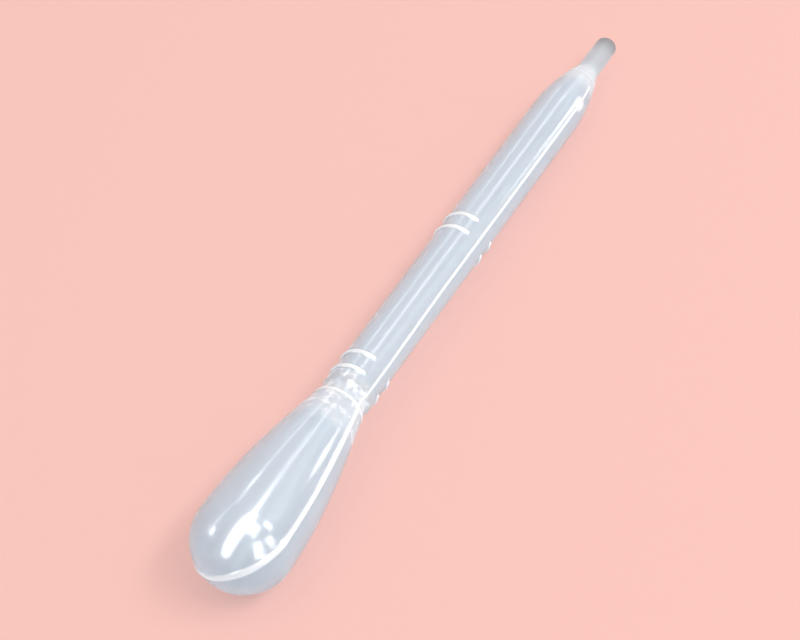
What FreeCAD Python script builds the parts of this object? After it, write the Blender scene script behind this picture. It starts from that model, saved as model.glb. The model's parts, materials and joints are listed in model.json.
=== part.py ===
import FreeCAD, Part
import math
import os

# Squeeze dropper, blow-moulded in one piece in natural low-density polyethylene.
# It is built upright, on the Z axis, with the closed end of the bulb at z = 0 and the
# nozzle at the top, and is then laid down as it rests: axis along +Y, bulb towards -Y,
# sloping down to the nozzle, origin under its middle. Millimetres, +Z up. A half
# section lies in the XZ plane; turns about the axis are degrees from the parting line.

overall_length = 94.0
wall = 0.4

# Bulb: a blunt closed end, then a flank that narrows to the neck
bulb_radius = 5.3
bulb_length = 24.7            # closed end to neck
dome_height = 4.9             # closed end to the widest ring
dome_fullness = (0.66, 0.52)  # how long the curve stays flat at the end and upright at the side
flank_fullness = (0.385, 0.29)
neck_radius = 2.8
neck_slope = 0.2              # how fast the flank still narrows at the neck
bulb_lean = 1.56              # degrees between the bulb's axis and the barrel's
lean_turn = 97.0

# Neck: a rounded lip on the bulb's end, then a shallow waist in the barrel's whole wall.
# The bulb is turned about the neck's centre, and the barrel starts a little inside it, so
# the two meet all round under the lip.
lip_radius = 2.88
lip_rounding = 0.15
waist_depth = 0.2
waist_start = 0.1             # above the neck
waist_length = 1.7
barrel_foot = 0.4             # how far inside the bulb the barrel starts

# Barrel, a little wider at its far end, and the shoulder that closes in to the nozzle
barrel_radius = 2.7           # at the neck
barrel_end_radius = 2.84
shoulder_start = 78.0
shoulder_arc = 30.0

# Nozzle
nozzle_radius = 1.27
nozzle_fillet = 2.0
bore_radius = 0.45

# Graduation ridges: two pairs, each ridge in two halves with gaps at the parting line
ridge_pairs = (29.45, 53.7)   # middle of each pair, from the closed end
ridge_pitch = 2.35
ridge_width = 0.65
ridge_height = 0.17
ridge_span = 108.0
ridge_turn = 92.0             # middle of the first half; the second is opposite

# Parting line, on two opposite sides, and the wider weld round the closed end
seam_width = 0.4
seam_height = 0.09
seam_fade = (10.0, 13.0)      # degrees along the shoulder's arc where it sinks into the skin
weld_width = 0.6
weld_height = 0.12
weld_fade = 1.5               # past the widest ring
seam_rise = 33.0              # at rest, above the horizontal on the +X side

centre = FreeCAD.Vector(0, 0, 0)
along_x = FreeCAD.Vector(1, 0, 0)
up = FreeCAD.Vector(0, 0, 1)


def at(radius, height):
    """A point of the half section."""
    return FreeCAD.Vector(radius, 0, height)


def line(start, end):
    return Part.LineSegment(start, end).toShape()


def curve(*poles):
    """Cubic curve that leaves the first pole and reaches the last one along the others."""
    cubic = Part.BezierCurve()
    cubic.setPoles(list(poles))
    return cubic.toShape()


def arc_about(middle, radius, start, end):
    """Arc of the half section; angles from +X towards +Z."""
    turns = [math.radians(angle) for angle in (start, (start + end) / 2, end)]
    points = [middle + at(radius * math.cos(turn), radius * math.sin(turn)) for turn in turns]
    return Part.Arc(*points).toShape()


def start_of(edge):
    return edge.valueAt(edge.FirstParameter)


def end_of(edge):
    return edge.valueAt(edge.LastParameter)


def half_section(edges):
    """Face between the axis and edges that run from the axis back to the axis."""
    closing = line(end_of(edges[-1]), start_of(edges[0]))
    return Part.Face(Part.Wire(edges + [closing]))


def revolve(edges):
    return half_section(edges).revolve(centre, up, 360)


def rib(edges, width):
    """Plate of this width inside the edges, on the parting line's +X side."""
    face = half_section(edges)
    face.translate(FreeCAD.Vector(0, -width / 2, 0))
    return face.extrude(FreeCAD.Vector(0, width, 0))


def bead_radius(width, height):
    """Radius of a round bar of which a cap this wide stands this far out of a surface."""
    return (width * width / 4 + height * height) / (2 * height)


# The skin, in pieces. An inset of 0 is the outside, an inset of the wall is the inside.

def dome(inset):
    radius = bulb_radius - inset
    flat, upright = dome_fullness
    return curve(
        at(0, inset),
        at(flat * radius, inset),
        at(radius, dome_height - upright * (dome_height - inset)),
        at(radius, dome_height),
    )


def flank(inset):
    length = bulb_length - dome_height
    first, last = (share * length for share in flank_fullness)
    return curve(
        at(bulb_radius - inset, dome_height),
        at(bulb_radius - inset, dome_height + first),
        at(neck_radius - inset + neck_slope * last, bulb_length - last),
        at(neck_radius - inset, bulb_length),
    )


def waist(inset):
    """Hollow arc that presses the wall in just above the neck."""
    outer_arc = bead_radius(waist_length, waist_depth)
    middle = at(barrel_radius - waist_depth + outer_arc, bulb_length + waist_start + waist_length / 2)
    arc = outer_arc + inset
    angle = math.degrees(math.acos((middle.x - (barrel_radius - inset)) / arc))
    return arc_about(middle, arc, 180 + angle, 180 - angle)


def waisted_barrel(inset):
    """The barrel's skin: a foot inside the bulb, the waist, then one long taper."""
    near = barrel_radius - inset
    foot = bulb_length - barrel_foot
    arc = waist(inset)
    return [
        line(at(0, foot), at(near, foot)),
        line(at(near, foot), start_of(arc)),
        arc,
        line(end_of(arc), at(barrel_end_radius - inset, shoulder_start)),
    ]


def shoulder(inset, end_angle):
    """Bulging arc that leaves the barrel smoothly."""
    middle = at(barrel_end_radius - shoulder_arc, shoulder_start)
    return arc_about(middle, shoulder_arc - inset, 0, end_angle)


def nozzle_fillet_arc():
    """Hollow arc that runs from the shoulder into the nozzle, and its angle on the shoulder."""
    reach = shoulder_arc + nozzle_fillet
    across = nozzle_radius + nozzle_fillet - (barrel_end_radius - shoulder_arc)
    angle = math.degrees(math.acos(across / reach))
    height = shoulder_start + reach * math.sin(math.radians(angle))
    middle = at(nozzle_radius + nozzle_fillet, height)
    return arc_about(middle, nozzle_fillet, 180 + angle, 180), angle


def lean(shape):
    """Turn a bulb shape about the neck so that its closed end moves towards lean_turn."""
    turn = math.radians(lean_turn)
    hinge = FreeCAD.Vector(-math.sin(turn), math.cos(turn), 0)
    shape.rotate(at(0, bulb_length), hinge, -bulb_lean)
    return shape


def bulb_outside():
    """Dome and flank, closed by the lip that stands round the barrel's foot."""
    ring = at(lip_radius - lip_rounding, bulb_length)
    lip = arc_about(ring, lip_rounding, 0, 90)
    step = line(end_of(flank(0)), start_of(lip))
    end_face = line(end_of(lip), at(0, bulb_length + lip_rounding))
    return lean(revolve([dome(0), flank(0), step, lip, end_face]))


def bulb_inside():
    end_face = line(end_of(flank(wall)), at(0, bulb_length))
    return lean(revolve([dome(wall), flank(wall), end_face]))


def barrel_outside():
    fillet, fillet_angle = nozzle_fillet_arc()
    rounding = nozzle_radius - bore_radius
    tip = arc_about(at(bore_radius, overall_length - rounding), rounding, 0, 90)
    skin = waisted_barrel(0) + [shoulder(0, fillet_angle), fillet]
    skin += [line(end_of(fillet), start_of(tip)), tip]
    return revolve(skin + [line(end_of(tip), at(0, overall_length))])


def barrel_inside():
    """Barrel's cavity, and the bore that leads out through the nozzle."""
    beyond = overall_length + 1
    arc_centre = barrel_end_radius - shoulder_arc
    bore_angle = math.degrees(math.acos((bore_radius - arc_centre) / (shoulder_arc - wall)))
    skin = waisted_barrel(wall) + [shoulder(wall, bore_angle)]
    skin.append(line(end_of(skin[-1]), at(bore_radius, beyond)))
    return revolve(skin + [line(end_of(skin[-1]), at(0, beyond))])


# Raised details. The ridges are round bars sunk in the skin and closed by half balls; the
# parting line is a thin rib.

def ridge(height, middle_turn):
    """One half of a graduation ridge."""
    section = bead_radius(ridge_width, ridge_height)
    along = (height - bulb_length) / (shoulder_start - bulb_length)
    skin_radius = barrel_radius + along * (barrel_end_radius - barrel_radius)
    ring = skin_radius + ridge_height - section
    turn = math.radians(ridge_span)
    far_end = FreeCAD.Vector(ring * math.cos(turn), ring * math.sin(turn), 0)
    far_way = FreeCAD.Vector(-math.sin(turn), math.cos(turn), 0)
    bar = Part.makeTorus(ring, section, centre, up, 0, 360, ridge_span)
    near_ball = Part.makeSphere(section, at(ring, 0), FreeCAD.Vector(0, -1, 0), 0, 90, 360)
    far_ball = Part.makeSphere(section, far_end, far_way, 0, 90, 360)
    whole = bar.fuse([near_ball, far_ball])
    whole.rotate(centre, up, middle_turn - ridge_span / 2)
    whole.translate(at(0, height))
    return whole


def ridges():
    heights = [pair + side * ridge_pitch / 2 for pair in ridge_pairs for side in (-1, 1)]
    return [ridge(height, ridge_turn + turn) for height in heights for turn in (0, 180)]


def weld():
    """Raised band round the closed end."""
    end = at(bulb_radius, dome_height + weld_fade)
    band = dome(-weld_height)
    return rib([band, line(end_of(band), end), line(end, at(0, end.z))], weld_width)


def bulb_seam():
    """Parting line along the bulb."""
    top = flank(-seam_height)
    return rib([dome(-seam_height), top, line(end_of(top), at(0, bulb_length))], seam_width)


def barrel_seam():
    """Parting line from the neck to the shoulder."""
    start = at(barrel_radius + seam_height, bulb_length)
    top = shoulder(-seam_height, seam_fade[0])
    end = end_of(shoulder(0, seam_fade[1]))
    edges = [line(at(0, start.z), start), line(start, start_of(top)), top]
    return rib(edges + [line(end_of(top), end), line(end, at(0, end.z))], seam_width)


def both_sides(make):
    """A rib on the +X side and its twin on the opposite one."""
    twin = make()
    twin.rotate(centre, up, 180)
    return [make(), twin]


def seams():
    on_bulb = [lean(shape) for shape in both_sides(weld) + both_sides(bulb_seam)]
    return on_bulb + both_sides(barrel_seam)


def dropper():
    """The whole moulding, upright."""
    body = bulb_outside().fuse(barrel_outside())
    for detail in ridges() + seams():
        body = body.fuse(detail)
    cavity = bulb_inside().fuse(barrel_inside())
    return body.cut(cavity).Solids[0]


def rest_slope():
    """Slope of the floor line that touches both the leaning bulb and the barrel's far end."""
    sink = math.sin(math.radians(bulb_lean)) * math.sin(math.radians(lean_turn - seam_rise))
    slopes = [
        (point.x + sink * (bulb_length - point.z) - barrel_end_radius) / (shoulder_start - point.z)
        for point in flank(0).discretize(200)
    ]
    return math.degrees(math.atan(max(slopes)))


def lay_down(shape):
    """Roll the moulding to its resting turn and lay it on the floor."""
    shape.rotate(centre, up, -seam_rise)
    shape.rotate(centre, along_x, -90 - rest_slope())
    box = shape.optimalBoundingBox(False)
    shape.translate(FreeCAD.Vector(-box.Center.x, -box.Center.y, -box.ZMin))
    return shape


if __name__ == "__main__":
    whole = lay_down(dropper())
    print("valid", whole.isValid(), "volume", round(whole.Volume, 1), "slope", rest_slope())
    print(whole.optimalBoundingBox(False))
    os.makedirs("parts", exist_ok=True)
    whole.exportStep("parts/dropper.step")
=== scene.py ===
import json
import math
import bpy
from mathutils import Matrix, Vector


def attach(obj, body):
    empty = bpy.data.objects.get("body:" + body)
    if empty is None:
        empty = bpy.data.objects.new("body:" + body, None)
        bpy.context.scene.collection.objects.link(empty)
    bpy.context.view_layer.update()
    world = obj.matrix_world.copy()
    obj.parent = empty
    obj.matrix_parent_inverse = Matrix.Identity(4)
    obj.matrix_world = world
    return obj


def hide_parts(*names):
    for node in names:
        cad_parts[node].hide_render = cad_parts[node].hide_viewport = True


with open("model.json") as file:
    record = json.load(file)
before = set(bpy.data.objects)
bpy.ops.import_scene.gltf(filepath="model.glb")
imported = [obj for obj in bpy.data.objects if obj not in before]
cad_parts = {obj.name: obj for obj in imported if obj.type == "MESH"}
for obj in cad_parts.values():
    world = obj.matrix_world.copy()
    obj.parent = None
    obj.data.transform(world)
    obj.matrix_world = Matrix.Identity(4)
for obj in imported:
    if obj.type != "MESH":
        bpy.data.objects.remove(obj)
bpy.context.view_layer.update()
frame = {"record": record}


class Wire:
    # a socket of a node tree; sums written on it add Math nodes
    def __init__(self, tree, socket=None):
        self.tree = tree
        self.socket = socket

    def node(self, kind, settings=None, values=None, output=0):
        made = self.tree.nodes.new(kind)
        for name, value in (settings or {}).items():
            setattr(made, name, value)
        for name, value in (values or {}).items():
            for each in value if isinstance(value, list) else [value]:
                if isinstance(each, Wire):
                    self.tree.links.new(each.socket, made.inputs[name])
                else:
                    made.inputs[name].default_value = each
        return Wire(self.tree, made.outputs[output])

    def other(self, output):
        # another output of the same node
        return Wire(self.tree, self.socket.node.outputs[output])

    def maths(self, operation, *terms):
        return self.node("ShaderNodeMath", {"operation": operation}, dict(enumerate(terms)))

    def __add__(self, term):
        return self.maths("ADD", self, term)

    def __sub__(self, term):
        return self.maths("SUBTRACT", self, term)

    def __rsub__(self, term):
        return self.maths("SUBTRACT", term, self)

    def __mul__(self, term):
        return self.maths("MULTIPLY", self, term)

    def __truediv__(self, term):
        return self.maths("DIVIDE", self, term)

    def __rtruediv__(self, term):
        return self.maths("DIVIDE", term, self)

    def __abs__(self):
        return self.maths("ABSOLUTE", self)

    __radd__ = __add__
    __rmul__ = __mul__


def least(first, second):
    return first.maths("MINIMUM", first, second)


def most(first, second):
    return first.maths("MAXIMUM", first, second)


def root(value):
    return value.maths("SQRT", value)


def sine(turn):
    return turn.maths("SINE", turn)


def cosine(turn):
    return turn.maths("COSINE", turn)


def ease(value, start, end):
    # 0 up to start, 1 from end on, smooth between
    return value.node(
        "ShaderNodeMapRange",
        {"interpolation_type": "SMOOTHSTEP"},
        {"Value": value, "From Min": start, "From Max": end},
    )


# the moulding is built upright in millimetres, closed end at height 0 and nozzle at the top

dropperSizes = {
    "overallLength": 94.0,
    "wall": 0.4,
    "bulbRadius": 5.3,
    "bulbLength": 24.7,  # closed end to neck
    "domeHeight": 5.2,  # closed end to the widest ring
    "domeFlat": 0.6,  # how long the closed end's curve stays flat
    "domeUpright": 0.5,  # and how long it is upright at the side
    "flankUpright": 0.385,  # how long the bulb's side stays upright
    "flankStraight": 0.29,  # and how long it runs straight into the neck
    "neckRadius": 2.8,
    "neckSlope": 0.2,  # widening per height there
    "bulbLean": math.radians(1.56),  # between the bulb's axis and the barrel's
    "leanTurn": math.radians(97.0),  # side towards which it leans
    "lipRadius": 2.88,
    "lipRounding": 0.15,
    "lipWidth": 0.6,
    "waistDepth": 0.2,
    "waistStart": 0.1,
    "waistLength": 1.7,
    "barrelRadius": 2.7,  # at the neck
    "barrelEndRadius": 2.84,
    "shoulderStart": 78.0,
    "shoulderArc": 30.0,
    "nozzleRadius": 1.27,
    "nozzleFillet": 2.0,
    "boreRadius": 0.45,
    "boreFillet": 9.0,
    "firstMark": 29.45,  # middle of each pair of graduation ridges
    "secondMark": 53.7,
    "ridgePitch": 2.35,
    "ridgeWidth": 0.65,
    "ridgeHeight": 0.17,
    "ridgeSpan": math.radians(108.0),
    "ridgeTurn": math.radians(92.0),
    "seamWidth": 0.45,
    "bulbSeamWidth": 0.82,
    "seamHeight": 0.09,
    "seamEnd": math.radians(10.0),  # along the shoulder's arc, where the line starts to sink
    "seamGone": math.radians(13.0),
    "bulbTurn": math.radians(4.4),  # from the barrel's parting line to the bulb's
    "turnStart": 28.5,  # heights between which the line swings back
    "turnEnd": 46.0,
    "weldWidth": 0.95,
    "weldHeight": 0.12,
    "weldFade": 1.5,
    # heights between which the finish changes, and how much whiter or greyer it gets, up to 1; the
    # whitening at the neck is painted light, the spot on the parting line a painted highlight, and the grey
    # painted shade
    # painted light at the neck, standing for its glints and refraction
    "neckLightStart": 19.0,
    "neckLightFull": 22.2,
    "neckLightFade": 27.0,
    "neckLightEnd": 28.2,
    # the parting line and weld whiter where the plastic is thicker, partly a painted highlight
    "seamWhite": 0.8,
    "paintedHighlightHeight": 79.9,  # a painted highlight on the parting line of the shoulder
    "paintedHighlightRadius": 1.0,
    "paintedHighlightCore": 0.3,  # radius up to which it is at its whitest
    "paintedHighlightStretch": 0.6,  # below 1 it is longer than it is wide
    "paintedHighlightWhite": 0.7,
    # painted shade: grey from the shoulder's end to the mouth, where the thick tip refracts dark
    # surroundings
    "shoulderShadeStart": 76.0,
    "shoulderShadeEnd": 82.5,
    "shoulderShadeAmount": 0.03,
    "rootStart": 81.3,  # whiter root of the nozzle
    "rootFull": 84.5,
    "rootFade": 86.6,
    "rootEnd": 88.6,
    "rootWhite": 0.33,
    "mattStart": 83.5,
    "mattEnd": 87.0,
    "nozzleStart": 86.0,
    "nozzleFull": 89.0,
    "nozzleWhite": 0.3,
    "nozzleShadeStart": 87.0,
    "nozzleShadeAmount": 0.43,
    "mouthStart": 90.9,
    "mouthShadeAmount": 0.54,
}

# how fine the mesh is: rings along each stretch of the outside and the inside, and columns round
outerRings = {
    "dome": 44,
    "flank": 64,
    "lip": 12,
    "waist": 26,
    "ridge": 18,
    "barrel": (8, 8, 40, 8, 40),  # below, between and above the four ridges
    "shoulder": 36,
    "fillet": 12,
    "nozzle": 8,
    "end": 16,
}
innerRings = {"dome": 22, "flank": 30, "waist": 12, "barrel": 24, "shoulder": 20, "fillet": 20, "bore": 6}
columnsRound = 144
columnCrowding = 0.8  # 0 is even; towards 1 the columns crowd at the parting line

seamRise = math.radians(33.0)  # the parting line at rest, above the horizontal on the +X side


def bezier(start, first, second, end, steps):
    return start.node(
        "GeometryNodeCurvePrimitiveBezierSegment",
        {"mode": "POSITION"},
        {"Resolution": steps, "Start": start, "Start Handle": first, "End Handle": second, "End": end},
    )


def arcThrough(start, middle, end, steps):
    return start.node(
        "GeometryNodeCurveArc",
        {"mode": "POINTS"},
        {"Resolution": steps, "Start": start, "Middle": middle, "End": end},
    )


def straight(start, end, steps):
    line = start.node("GeometryNodeCurvePrimitiveLine", {"mode": "POINTS"}, {"Start": start, "End": end})
    return line.node("GeometryNodeResampleCurve", {"mode": "COUNT"}, {"Curve": line, "Count": steps})


def at(radius, height):
    # a point of the half section
    known = radius if isinstance(radius, Wire) else height
    return known.node("ShaderNodeCombineXYZ", {}, {"X": radius, "Z": height})


def arcAbout(radius, height, reach, start, end, steps):
    # arc of the half section about a centre; turns from outwards towards the nozzle
    spots = []
    for share in (0, 0.5, 1):
        turn = start * (1 - share) + end * share
        if isinstance(turn, Wire):
            across, along = cosine(turn) * reach, sine(turn) * reach
        else:
            across, along = reach * math.cos(turn), reach * math.sin(turn)
        spots.append(at(radius + across, height + along))
    return arcThrough(*spots, steps)


def beadRadius(width, height):
    # radius of a round bar of which a cap this wide stands this far out
    return (width * width / 4 + height * height) / (height * 2)


def domeCurve(size, inset, steps):
    radius = size["bulbRadius"] - inset
    foot = size["domeHeight"] - size["domeUpright"] * (size["domeHeight"] - inset)
    return bezier(
        at(0.0, inset),
        at(radius * size["domeFlat"], inset),
        at(radius, foot),
        at(radius, size["domeHeight"]),
        steps,
    )


def flankCurve(size, inset, steps):
    length = size["bulbLength"] - size["domeHeight"]
    first = length * size["flankUpright"]
    last = length * size["flankStraight"]
    return bezier(
        at(size["bulbRadius"] - inset, size["domeHeight"]),
        at(size["bulbRadius"] - inset, size["domeHeight"] + first),
        at(size["neckRadius"] - inset + size["neckSlope"] * last, size["bulbLength"] - last),
        at(size["neckRadius"] - inset, size["bulbLength"]),
        steps,
    )


def lipCurve(size):
    # round edge that closes the bulb's end in towards the waist
    rounding = size["lipRounding"]
    centre = size["neckRadius"] - rounding
    return arcAbout(centre, size["bulbLength"], rounding, 0.0, math.pi / 2, outerRings["lip"])


def waistCurve(size, inset, steps):
    # hollow arc that presses the wall in just above the neck
    reach = beadRadius(size["waistLength"], size["waistDepth"])
    centre = size["barrelRadius"] - size["waistDepth"] + reach
    height = size["bulbLength"] + size["waistStart"] + size["waistLength"] / 2
    arc = reach + inset
    edge = (centre - (size["barrelRadius"] - inset)) / arc
    turn = edge.maths("ARCCOSINE", edge)
    return arcAbout(centre, height, arc, turn + math.pi, math.pi - turn, steps)


def ridgeHeights(size):
    return [
        size[mark] + size["ridgePitch"] * side
        for mark in ("firstMark", "secondMark")
        for side in (-0.5, 0.5)
    ]


def barrelCurves(size):
    # one long taper, with close rings round each graduation ridge
    start = size["bulbLength"] + size["waistStart"] + size["waistLength"]
    end = size["shoulderStart"]
    taper = (size["barrelEndRadius"] - size["barrelRadius"]) / (end - start)

    def skin(height):
        return at(size["barrelRadius"] + (height - start) * taper, height)

    lines = []
    reached = start
    closeRings = size["ridgeWidth"] * 0.65  # a little past each edge of the ridge
    for height, rings in zip(ridgeHeights(size), outerRings["barrel"]):
        low, high = height - closeRings, height + closeRings
        lines.append(straight(skin(reached), skin(low), rings))
        lines.append(straight(skin(low), skin(high), outerRings["ridge"]))
        reached = high
    lines.append(straight(skin(reached), skin(end), outerRings["barrel"][-1]))
    return lines


def nozzleCurves(size):
    # shoulder, fillet, nozzle and its rounded end
    reach = size["shoulderArc"] + size["nozzleFillet"]
    arcCentre = size["barrelEndRadius"] - size["shoulderArc"]
    across = (size["nozzleRadius"] + size["nozzleFillet"] - arcCentre) / reach
    turn = across.maths("ARCCOSINE", across)
    foot = size["shoulderStart"] + reach * sine(turn)
    rounding = size["nozzleRadius"] - size["boreRadius"]
    top = size["overallLength"] - rounding
    radius, fillet = size["nozzleRadius"], size["nozzleFillet"]
    rings = outerRings
    return [
        arcAbout(arcCentre, size["shoulderStart"], size["shoulderArc"], 0.0, turn, rings["shoulder"]),
        arcAbout(radius + fillet, foot, fillet, turn + math.pi, math.pi, rings["fillet"]),
        straight(at(radius, foot), at(radius, top), rings["nozzle"]),
        arcAbout(size["boreRadius"], top, rounding, 0.0, math.pi / 2, rings["end"]),
    ]


def insideCurves(size):
    # the cavity, from the bottom of the bulb up to the mouth of the bore
    wall = size["wall"]
    reach = size["shoulderArc"] - wall
    fillet = size["boreFillet"]
    arcCentre = size["barrelEndRadius"] - size["shoulderArc"]
    across = (size["boreRadius"] + fillet - arcCentre) / (reach + fillet)
    turn = across.maths("ARCCOSINE", across)
    boreFoot = size["shoulderStart"] + (reach + fillet) * sine(turn)
    start = size["bulbLength"] + size["waistStart"] + size["waistLength"]
    near, far = size["barrelRadius"] - wall, size["barrelEndRadius"] - wall
    bore = size["boreRadius"]
    rings = innerRings
    return [
        domeCurve(size, wall, rings["dome"]),
        flankCurve(size, wall, rings["flank"]),
        waistCurve(size, wall, rings["waist"]),
        straight(at(near, start), at(far, size["shoulderStart"]), rings["barrel"]),
        arcAbout(arcCentre, size["shoulderStart"], reach, 0.0, turn, rings["shoulder"]),
        arcAbout(bore + fillet, boreFoot, fillet, turn + math.pi, math.pi, rings["fillet"]),
        straight(at(bore, boreFoot), at(bore, size["overallLength"]), rings["bore"]),
    ]


def joined(curves):
    # the node puts its last link first
    return curves[0].node("GeometryNodeJoinGeometry", {}, {"Geometry": curves[::-1]})


def asPoints(curve):
    return curve.node("GeometryNodeCurveToPoints", {"mode": "EVALUATED"}, {"Curve": curve})


def countOf(points):
    return points.node(
        "GeometryNodeAttributeDomainSize", {"component": "POINTCLOUD"}, {"Geometry": points}
    )


def placeOf(points, index):
    return index.node(
        "GeometryNodeSampleIndex",
        {"data_type": "FLOAT_VECTOR", "domain": "POINT", "clamp": True},
        {"Geometry": points, "Value": index.node("GeometryNodeInputPosition"), "Index": index},
    )


def bead(distance, width, height):
    # height of a round bead above the skin
    softFoot = 0.03
    bar = beadRadius(width, height)
    cap = root(most(bar * bar - distance * distance, 0.0)) - bar + height
    return cap.maths("SMOOTH_MAX", cap, 0.0, softFoot)


def onBulb(height, size):
    # 1 up to the lip, 0 on the barrel
    fadeLength = 0.4
    lipTop = size["bulbLength"] + size["lipRounding"]
    return 1 - ease(height, lipTop, lipTop + fadeLength)


def swingOf(height, size):
    # how far the parting line has turned from its place on the barrel
    return size["bulbTurn"] * (1 - ease(height, size["turnStart"], size["turnEnd"]))


def storeValue(shape, name, value):
    # keeps a number at every point, for later nodes and for the finish
    return shape.node(
        "GeometryNodeStoreNamedAttribute",
        {"data_type": "FLOAT", "domain": "POINT"},
        {"Geometry": shape, "Name": name, "Value": value},
    )


def buildMouldingTree(inputs, columns, crowding):
    tree = bpy.data.node_groups.new("dropperMoulding", "GeometryNodeTree")
    tree.is_modifier = True
    tree.interface.new_socket("Geometry", in_out="INPUT", socket_type="NodeSocketGeometry")
    for name in inputs:
        tree.interface.new_socket(name, in_out="INPUT", socket_type="NodeSocketFloat")
    tree.interface.new_socket("Finish", in_out="INPUT", socket_type="NodeSocketMaterial")
    tree.interface.new_socket("Geometry", in_out="OUTPUT", socket_type="NodeSocketGeometry")
    start = Wire(tree).node("NodeGroupInput")
    size = {name: start.other(name) for name in inputs}

    noInset = size["wall"] * 0  # zero, as a socket; the inside's curves take the wall instead
    outside = [domeCurve(size, noInset, outerRings["dome"]), flankCurve(size, noInset, outerRings["flank"])]
    outside += [lipCurve(size), waistCurve(size, noInset, outerRings["waist"])]
    outside += barrelCurves(size) + nozzleCurves(size)
    outer, inner = asPoints(joined(outside)), asPoints(joined(insideCurves(size)))
    outerCount, innerCount = countOf(outer), countOf(inner)

    # a sheet of rings and columns, rolled round the axis; columns crowd at the parting line
    sheet = outer.node(
        "GeometryNodeMeshGrid",
        {},
        {"Size X": 1.0, "Size Y": 1.0, "Vertices X": outerCount + innerCount, "Vertices Y": columns + 1},
    )
    index = sheet.node("GeometryNodeInputIndex")
    ring = index / (columns + 1)
    ring = ring.maths("FLOOR", ring)
    share = (index - ring * (columns + 1)) / columns * (2 * math.pi)
    turn = share - sine(share * 2) * (crowding / 2)
    onInside = ring.maths("GREATER_THAN", ring, outerCount - 0.5)
    insideRing = outerCount + innerCount - 1 - ring
    place = ring.node(
        "GeometryNodeSwitch",
        {"input_type": "VECTOR"},
        {"Switch": onInside, "False": placeOf(outer, ring), "True": placeOf(inner, insideRing)},
    )
    parts = place.node("ShaderNodeSeparateXYZ", {}, {0: place})
    turn = turn + swingOf(parts.other("Z"), size)
    rolled = place.node(
        "ShaderNodeCombineXYZ",
        {},
        {"X": parts * cosine(turn), "Y": parts * sine(turn), "Z": parts.other("Z")},
    )
    tube = storeValue(sheet, "onInside", onInside)
    tube = tube.node("GeometryNodeSetPosition", {}, {"Geometry": tube, "Position": rolled})
    mergeDistance = 0.002
    tube = tube.node("GeometryNodeMergeByDistance", {}, {"Geometry": tube, "Distance": mergeDistance})
    tube = tube.node("GeometryNodeFlipFaces", {}, {"Mesh": tube})  # the sheet was rolled inside out

    leaned = leanBulb(raiseDetails(tube, size), size)
    smooth = leaned.node("GeometryNodeSetShadeSmooth", {}, {"Geometry": leaned})
    real = smooth.node("GeometryNodeRealizeInstances", {}, {"Geometry": smooth})
    dressed = real.node(
        "GeometryNodeSetMaterial", {}, {"Geometry": real, "Material": start.other("Finish")}
    )
    end = tree.nodes.new("NodeGroupOutput")
    tree.links.new(dressed.socket, end.inputs[0])
    return tree


def raiseDetails(tube, size):
    # graduation ridges, parting line, weld and lip, pushed out of the outer skin along its normals
    place = tube.node("ShaderNodeSeparateXYZ", {}, {0: tube.node("GeometryNodeInputPosition")})
    x, y, height = place, place.other("Y"), place.other("Z")
    turn = y.maths("ARCTAN2", y, x)
    skin = root(x * x + y * y)

    nearest = None
    for middle in ridgeHeights(size):
        gap = abs(height - middle)
        nearest = gap if nearest is None else least(nearest, gap)
    folded = turn - size["ridgeTurn"]
    folded = abs(folded.maths("WRAP", folded, math.pi / 2, -math.pi / 2))
    past = most(folded - size["ridgeSpan"] / 2, 0.0) * skin
    ridge = bead(root(nearest * nearest + past * past), size["ridgeWidth"], size["ridgeHeight"])

    seamEnd = size["shoulderStart"] + size["shoulderArc"] * sine(size["seamEnd"])
    seamGone = size["shoulderStart"] + size["shoulderArc"] * sine(size["seamGone"])
    below = onBulb(height, size)
    swing = swingOf(height, size)
    across = abs(y * cosine(swing) - x * sine(swing))
    seamWide = size["seamWidth"] + (size["bulbSeamWidth"] - size["seamWidth"]) * below
    seam = bead(across, seamWide, size["seamHeight"]) * (1 - ease(height, seamEnd, seamGone))
    weldEnd = size["domeHeight"] + size["weldFade"]
    weld = bead(across, size["weldWidth"], size["weldHeight"])
    weld = weld * (1 - ease(height, size["domeHeight"], weldEnd))
    lipHeight = size["lipRadius"] - size["neckRadius"]
    lipDrop = 0.05  # from the end of the bulb to the middle of the lip
    lip = bead(abs(height - size["bulbLength"] + lipDrop), size["lipWidth"], lipHeight)
    rise = most(most(ridge, seam), most(weld, lip))

    inside = tube.node("GeometryNodeInputNamedAttribute", {"data_type": "FLOAT"}, {"Name": "onInside"})
    # whiter where the raised plastic is thicker and so milkier, and partly a painted highlight on ridges,
    # lip, parting line and weld
    raised = most(ridge / size["ridgeHeight"], lip / lipHeight)
    lines = most(seam / size["seamHeight"], weld / size["weldHeight"])
    raised = most(raised, lines * size["seamWhite"])
    tube = storeShades(tube, size, height, across, raised, 1 - inside)
    push = rise.node(
        "ShaderNodeVectorMath",
        {"operation": "SCALE"},
        {0: rise.node("GeometryNodeInputNormal"), "Scale": rise * (1 - inside)},
    )
    return tube.node("GeometryNodeSetPosition", {}, {"Geometry": tube, "Offset": push})


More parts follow.
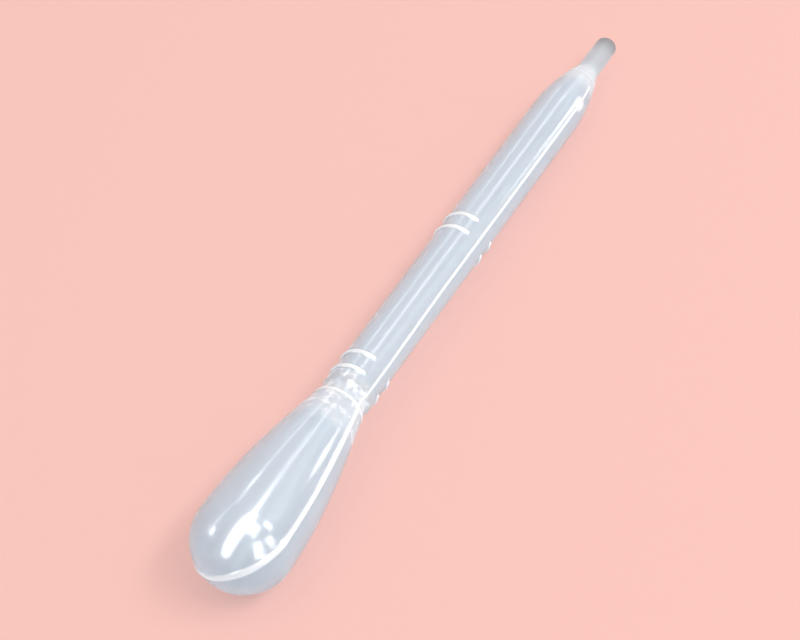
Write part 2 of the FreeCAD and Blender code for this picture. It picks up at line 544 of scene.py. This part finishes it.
def storeShades(tube, size, height, across, raised, outside):
    # for the finish: whiter where the plastic is thicker and so milkier, with painted highlights on the
    # parting line; painted light at the neck, painted shade towards the nozzle's mouth, and where it is
    # matt
    nozzle = ease(height, size["nozzleStart"], size["nozzleFull"]) * size["nozzleWhite"]
    atRoot = ease(height, size["rootStart"], size["rootFull"])
    atRoot = atRoot * (1 - ease(height, size["rootFade"], size["rootEnd"])) * size["rootWhite"]
    # painted highlight: a white spot on the parting line of the shoulder
    along = (height - size["paintedHighlightHeight"]) * size["paintedHighlightStretch"]
    fromPaintedHighlight = root(across * across + along * along)
    paintedHighlight = (1 - ease(fromPaintedHighlight, size["paintedHighlightCore"], size["paintedHighlightRadius"])) * size["paintedHighlightWhite"]
    thick = most(most(raised, nozzle), most(atRoot, paintedHighlight))
    tube = storeValue(tube, "milkAndHighlightShare", thick * outside)

    # painted light: whitening at the neck
    paintedNeckLight = ease(height, size["neckLightStart"], size["neckLightFull"])
    paintedNeckLight = paintedNeckLight * (1 - ease(height, size["neckLightFade"], size["neckLightEnd"]))
    tube = storeValue(tube, "paintedNeckLight", paintedNeckLight * outside)

    # painted shade: grey towards the nozzle's mouth, standing for refracted dark
    paintedTipShade = ease(height, size["shoulderShadeStart"], size["shoulderShadeEnd"]) * size["shoulderShadeAmount"]
    paintedTipShade = paintedTipShade + ease(height, size["nozzleShadeStart"], size["rootEnd"]) * size["nozzleShadeAmount"]
    paintedTipShade = paintedTipShade + ease(height, size["mouthStart"], size["overallLength"]) * size["mouthShadeAmount"]
    tube = storeValue(tube, "paintedTipShade", paintedTipShade)
    return storeValue(tube, "matt", ease(height, size["mattStart"], size["mattEnd"]))


def leanBulb(tube, size):
    # the bulb is turned a little about the neck's centre, the barrel stays
    place = tube.node("GeometryNodeInputPosition")
    share = onBulb(place.node("ShaderNodeSeparateXYZ", {}, {0: place}).other("Z"), size)
    hinge = share.node(
        "ShaderNodeCombineXYZ",
        {},
        {"X": sine(size["leanTurn"]) * -1, "Y": cosine(size["leanTurn"])},
    )
    leaned = share.node(
        "ShaderNodeVectorRotate",
        {"rotation_type": "AXIS_ANGLE"},
        {
            "Vector": place,
            "Center": share.node("ShaderNodeCombineXYZ", {}, {"Z": size["bulbLength"]}),
            "Axis": hinge,
            "Angle": share * size["bulbLean"] * -1,
        },
    )
    return tube.node("GeometryNodeSetPosition", {}, {"Geometry": tube, "Position": leaned})


def makeMoulding(name, inputs, finish):
    # runs the tree on an empty mesh and keeps the result as a plain mesh
    holder = bpy.data.objects.new("mouldingHolder", bpy.data.meshes.new("mouldingHolder"))
    bpy.context.scene.collection.objects.link(holder)
    modifier = holder.modifiers.new("moulding", "NODES")
    modifier.node_group = buildMouldingTree(inputs, columnsRound, columnCrowding)
    values = dict(inputs, Finish=finish)
    for item in modifier.node_group.interface.items_tree:
        if item.in_out == "INPUT" and item.name in values:
            modifier[item.identifier] = values[item.name]
    bpy.context.view_layer.update()
    graph = bpy.context.evaluated_depsgraph_get()
    mesh = bpy.data.meshes.new_from_object(holder.evaluated_get(graph))
    holder.modifiers.clear()
    bpy.data.objects.remove(holder)
    for slot in reversed(range(len(mesh.materials))):
        if mesh.materials[slot] is None:
            mesh.materials.pop(index=slot)  # the empty mesh's own slot, which no face uses
    mesh.name = name
    return mesh


def restingPlace(record, sizes):
    # from the upright build to the resting place: the mouth and the axis come from the bore's mount
    bore = next(mount for mount in record["mounts"] if mount["name"] == "nozzle_bore")
    axis = Vector(bore["axis"])
    halfBore = bore["dims"]["length_mm"] / 1000 / 2  # in metres
    mouth = Vector(bore["pos_m"]) + axis * halfBore
    tilt = math.atan2(-axis.z, axis.y)
    turned = Matrix.Rotation(-math.pi / 2 - tilt, 4, "X") @ Matrix.Rotation(-seamRise, 4, "Z")
    metresPerMillimetre = 0.001
    scaled = turned @ Matrix.Scale(metresPerMillimetre, 4)
    top = scaled @ Vector((0, 0, sizes["overallLength"]))
    return Matrix.Translation(mouth - top) @ scaled


# natural polyethylene: milky, thin-walled, glossy from the polished mould

plasticFinish = {
    "thin": (0.83, 0.936, 0.995, 1.0),
    "thinCloudy": (0.7885, 0.8892, 0.94525, 1.0),  # the thin wall's faint cloud
    "cloudScale": 220.0,  # how fine that cloud is, per metre
    "noiseDetail": 3.0,
    "thick": (0.985, 0.99, 1.0, 1.0),  # ribs, ridges, lip and weld, milkier where thicker and partly a painted highlight
    "fullMilkAndHighlight": 0.7,  # whiteness, out of 1, from which the wall is at its milkiest, painted highlights included
    "clear": 0.75,
    "milkAndHighlightClear": 0.05,
    "glow": (0.83, 0.92, 0.99, 1.0),  # light that comes softly through the wall
    "thinGlow": 0.12,
    "milkAndHighlightGlow": 0.1,
    "roughness": 0.15,
    "nozzleRoughness": 0.42,  # the nozzle and the end of the shoulder are less polished
    "refraction": 1.51,
    "paintedShadeGrey": (0.175, 0.188, 0.205, 1.0),  # painted shade: the grey standing for the dark that the thick nozzle and its mouth refract
    "glintPatchScale": 800.0,  # how fine the painted light patches at the neck are, per metre
    "glintPatchStart": 0.52,  # from where to where in the noise a patch fades in
    "patchFull": 0.66,
    "glintPatchWhite": 0.46,
    "neckLightWhite": 0.3,
    "dull": (0.88, 0.91, 0.94, 1.0),  # what soft light from the floor and the room meets
    "dullClear": 0.45,
    "lampsThrough": (0.87, 0.875, 0.88, 1.0),  # lamp light that each face of the wall lets by
}


def mixColours(sheet, share, first, second):
    return sheet.node("ShaderNodeMix", {"data_type": "RGBA"}, {0: share, 6: first, 7: second}, 2)


def mixShaders(sheet, share, first, second):
    return sheet.node("ShaderNodeMixShader", {}, {0: share, 1: first, 2: second})


def storedValue(sheet, name):
    return sheet.node("ShaderNodeAttribute", {"attribute_name": name}, {}, "Fac")


def makePlastic(finish):
    material = bpy.data.materials.new("naturalPolyethylene")
    material.use_nodes = True
    tree = material.node_tree
    tree.nodes.clear()
    sheet = Wire(tree)
    detail = finish["noiseDetail"]
    place = sheet.node("ShaderNodeTexCoord", {}, {}, "Object")
    paintedTipShade = storedValue(sheet, "paintedTipShade")
    noise = {"Vector": place, "Scale": finish["cloudScale"], "Detail": detail}
    cloud = sheet.node("ShaderNodeTexNoise", {}, noise)
    shade = mixColours(sheet, cloud, finish["thinCloudy"], finish["thin"])
    # painted shade greys the nozzle and its mouth
    shade = mixColours(sheet, paintedTipShade, shade, finish["paintedShadeGrey"])
    milkAndHighlightColour = mixColours(sheet, paintedTipShade, finish["thick"], finish["paintedShadeGrey"])
    matt = storedValue(sheet, "matt")
    rough = matt * (finish["nozzleRoughness"] - finish["roughness"]) + finish["roughness"]
    # painted light: white patches and an even whitening at the neck stand for the glints and refraction
    # seen there
    noise = {"Vector": place, "Scale": finish["glintPatchScale"], "Detail": detail}
    glintPatches = ease(sheet.node("ShaderNodeTexNoise", {}, noise), finish["glintPatchStart"], finish["patchFull"])
    paintedNeckLight = storedValue(sheet, "paintedNeckLight") * (glintPatches * finish["glintPatchWhite"] + finish["neckLightWhite"])
    # milkier where thicker, with the painted highlights
    milkAndHighlightShare = ease(storedValue(sheet, "milkAndHighlightShare"), 0.0, finish["fullMilkAndHighlight"])

    looks = {"Roughness": rough, "IOR": finish["refraction"]}
    glow = sheet.node("ShaderNodeBsdfTranslucent", {}, {"Color": finish["glow"]})
    thinWall = sheet.node(
        "ShaderNodeBsdfPrincipled",
        {},
        dict(looks, **{"Base Color": shade, "Transmission Weight": finish["clear"]}),
    )
    thinWall = mixShaders(sheet, finish["thinGlow"], thinWall, glow)
    milkAndHighlightWall = sheet.node(
        "ShaderNodeBsdfPrincipled",
        {},
        dict(looks, **{"Base Color": milkAndHighlightColour, "Transmission Weight": finish["milkAndHighlightClear"]}),
    )
    milkAndHighlightWall = mixShaders(sheet, finish["milkAndHighlightGlow"], milkAndHighlightWall, glow)
    # milky wall where the plastic is thicker, with the painted highlights and the painted light at the neck
    surface = mixShaders(sheet, most(milkAndHighlightShare, paintedNeckLight), thinWall, milkAndHighlightWall)

    # soft light from its surroundings meets a dull wall; lamps shine through it
    path = sheet.node("ShaderNodeLightPath")
    dull = sheet.node("ShaderNodeBsdfDiffuse", {}, {"Color": finish["dull"]})
    passed = sheet.node("ShaderNodeBsdfTransparent", {}, {"Color": finish["lampsThrough"]})
    dull = mixShaders(sheet, finish["dullClear"], dull, passed)
    whole = mixShaders(sheet, path.other("Is Diffuse Ray"), surface, dull)
    through = sheet.node("ShaderNodeBsdfTransparent", {}, {"Color": finish["lampsThrough"]})
    whole = mixShaders(sheet, path.other("Is Shadow Ray"), whole, through)
    end = tree.nodes.new("ShaderNodeOutputMaterial")
    tree.links.new(whole.socket, end.inputs["Surface"])
    return material


plastic = makePlastic(plasticFinish)
moulding = makeMoulding("dropperMoulding", dropperSizes, plastic)
moulding.transform(restingPlace(frame["record"], dropperSizes))
piece = bpy.data.objects.new("dropperBody", moulding)
bpy.context.scene.collection.objects.link(piece)
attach(piece, "root")
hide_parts("dropper")
print("natural polyethylene on", piece.name)
print("moulding", len(moulding.vertices), "points", len(moulding.polygons), "faces")


# floor, light and camera

stageLook = {
    "floorColour": (0.898, 0.535, 0.477, 1.0),
    "backdropColour": (0.924, 0.551, 0.491, 1.0),
    "paleColour": (0.84, 0.91, 0.97, 1.0),  # the floor that soft light bounces off
    "skyStrength": 0.72,
    "floorSize": 4.0,
}


def seenBackground(sheet):
    # 1 where the background itself is seen, straight or in gloss or through the plastic
    path = sheet.node("ShaderNodeLightPath")
    direct = path.other("Is Camera Ray")
    return most(most(direct, path.other("Is Glossy Ray")), path.other("Is Transmission Ray"))


def makeFloor(look):
    half = look["floorSize"] / 2
    corners = [(-half, -half, 0), (half, -half, 0), (half, half, 0), (-half, half, 0)]
    mesh = bpy.data.meshes.new("floor")
    mesh.from_pydata(corners, [], [(0, 1, 2, 3)])
    material = bpy.data.materials.new("palePaper")
    material.use_nodes = True
    tree = material.node_tree
    tree.nodes.clear()
    sheet = Wire(tree)
    seen = seenBackground(sheet)
    pink = sheet.node("ShaderNodeBsdfDiffuse", {}, {"Color": look["floorColour"]})
    pale = sheet.node("ShaderNodeBsdfDiffuse", {}, {"Color": look["paleColour"]})
    both = mixShaders(sheet, seen, pale, pink)
    end = tree.nodes.new("ShaderNodeOutputMaterial")
    tree.links.new(both.socket, end.inputs["Surface"])
    mesh.materials.append(material)
    floor = bpy.data.objects.new("floor", mesh)
    bpy.context.scene.collection.objects.link(floor)


def makeSky(look):
    world = bpy.data.worlds.new("paleRoom")
    world.use_nodes = True
    tree = world.node_tree
    tree.nodes.clear()
    sheet = Wire(tree)
    seen = seenBackground(sheet)
    pink = sheet.node("ShaderNodeBackground", {}, {"Color": look["backdropColour"], "Strength": 1.0})
    pale = sheet.node("ShaderNodeBackground", {}, {"Color": (1, 1, 1, 1), "Strength": look["skyStrength"]})
    both = mixShaders(sheet, seen, pale, pink)
    end = tree.nodes.new("ShaderNodeOutputWorld")
    tree.links.new(both.socket, end.inputs["Surface"])
    bpy.context.scene.world = world


def roundAxis(turn, lean):
    # direction from straight up: turned towards +X about the dropper's length, then leaning along it
    turn, lean = math.radians(turn), math.radians(lean)
    return Vector((math.sin(turn) * math.cos(lean), math.sin(lean), math.cos(turn) * math.cos(lean)))


def makeLamp(name, start, end, distance, width, radiance, inGloss):
    # a soft box that faces the dropper, reaching from one direction to another
    first, last = roundAxis(*start) * distance, roundAxis(*end) * distance
    middle = (first + last) / 2
    side = (last - first).normalized()
    back = middle.normalized()
    lamp = bpy.data.lights.new(name, "AREA")
    lamp.shape = "RECTANGLE"
    lamp.size, lamp.size_y = (last - first).length, width
    lamp.energy = radiance * math.pi * lamp.size * lamp.size_y
    holder = bpy.data.objects.new(name, lamp)
    holder.visible_diffuse = not inGloss
    holder.visible_glossy = inGloss
    holder.visible_transmission = False
    axes = Matrix((side, back.cross(side), back)).transposed()
    holder.matrix_world = Matrix.Translation(middle) @ axes.to_4x4()
    bpy.context.scene.collection.objects.link(holder)


lamps = [
    # name, from and to (turn about the length, lean along it), distance, width, radiance, in gloss only
    ("keyBox", (32, -10), (32, 26), 1.2, 0.25, 10.3, False),
    ("centreWide", (12, 28), (-55, -79), 0.9, 0.22, 14.0, True),
    ("centreMiddle", (9, 26), (6, 39), 0.9, 0.11, 11.0, True),
    ("centreNarrow", (5, 37), (0, 76), 0.9, 0.045, 3.6, True),
    ("leftUpper", (-45, 57), (-37, 40), 0.9, 0.05, 4.5, True),
    ("leftSpot", (-38, 39), (-36, 36), 0.9, 0.1, 14.0, True),
    ("leftLower", (-36, 38), (-44, 0), 0.9, 0.035, 5.0, True),
    ("leftLowest", (-43, 0), (-68, -32), 0.9, 0.06, 8.0, True),
    ("leftLowSpot", (-55, -23), (-66, -32), 0.9, 0.12, 14.0, True),
    ("rightStreak", (66, 48.5), (79, 53), 0.8, 0.1, 12.0, True),
    ("windowA", (45, 14), (45, 27.5), 0.8, 0.26, 14.0, True),
    ("windowB", (66, -8), (66, 8), 0.8, 0.27, 14.0, True),
    ("windowC", (24, -21), (24, 6), 0.8, 0.34, 14.0, True),
    ("windowD", (48, -21), (84, -34), 0.8, 0.25, 14.0, True),
]


cameraView = {
    "lens": 108,
    "sensor": 36,
    "turn": math.radians(26.889),  # round from -Y towards +X
    "rise": math.radians(45.427),  # above the floor
    "distance": 0.252076,
    "target": (-0.000416, -0.007827, 0.004588),
    "nearest": 0.01,
}


def makeCamera(view):
    eye = bpy.data.cameras.new("camera")
    eye.lens = view["lens"]
    eye.sensor_width = view["sensor"]
    eye.clip_start = view["nearest"]
    turn, rise = view["turn"], view["rise"]
    back = Vector((math.sin(turn) * math.cos(rise), -math.cos(turn) * math.cos(rise), math.sin(rise)))
    holder = bpy.data.objects.new("camera", eye)
    holder.location = Vector(view["target"]) + back * view["distance"]
    holder.rotation_euler = back.to_track_quat("Z", "Y").to_euler()
    bpy.context.scene.collection.objects.link(holder)
    bpy.context.scene.camera = holder


makeFloor(stageLook)
makeSky(stageLook)
for lamp in lamps:
    makeLamp(*lamp)
print("floor, room and", len(lamps), "lamps")
makeCamera(cameraView)
print("camera")
bpy.context.scene.view_settings.view_transform = "Standard"
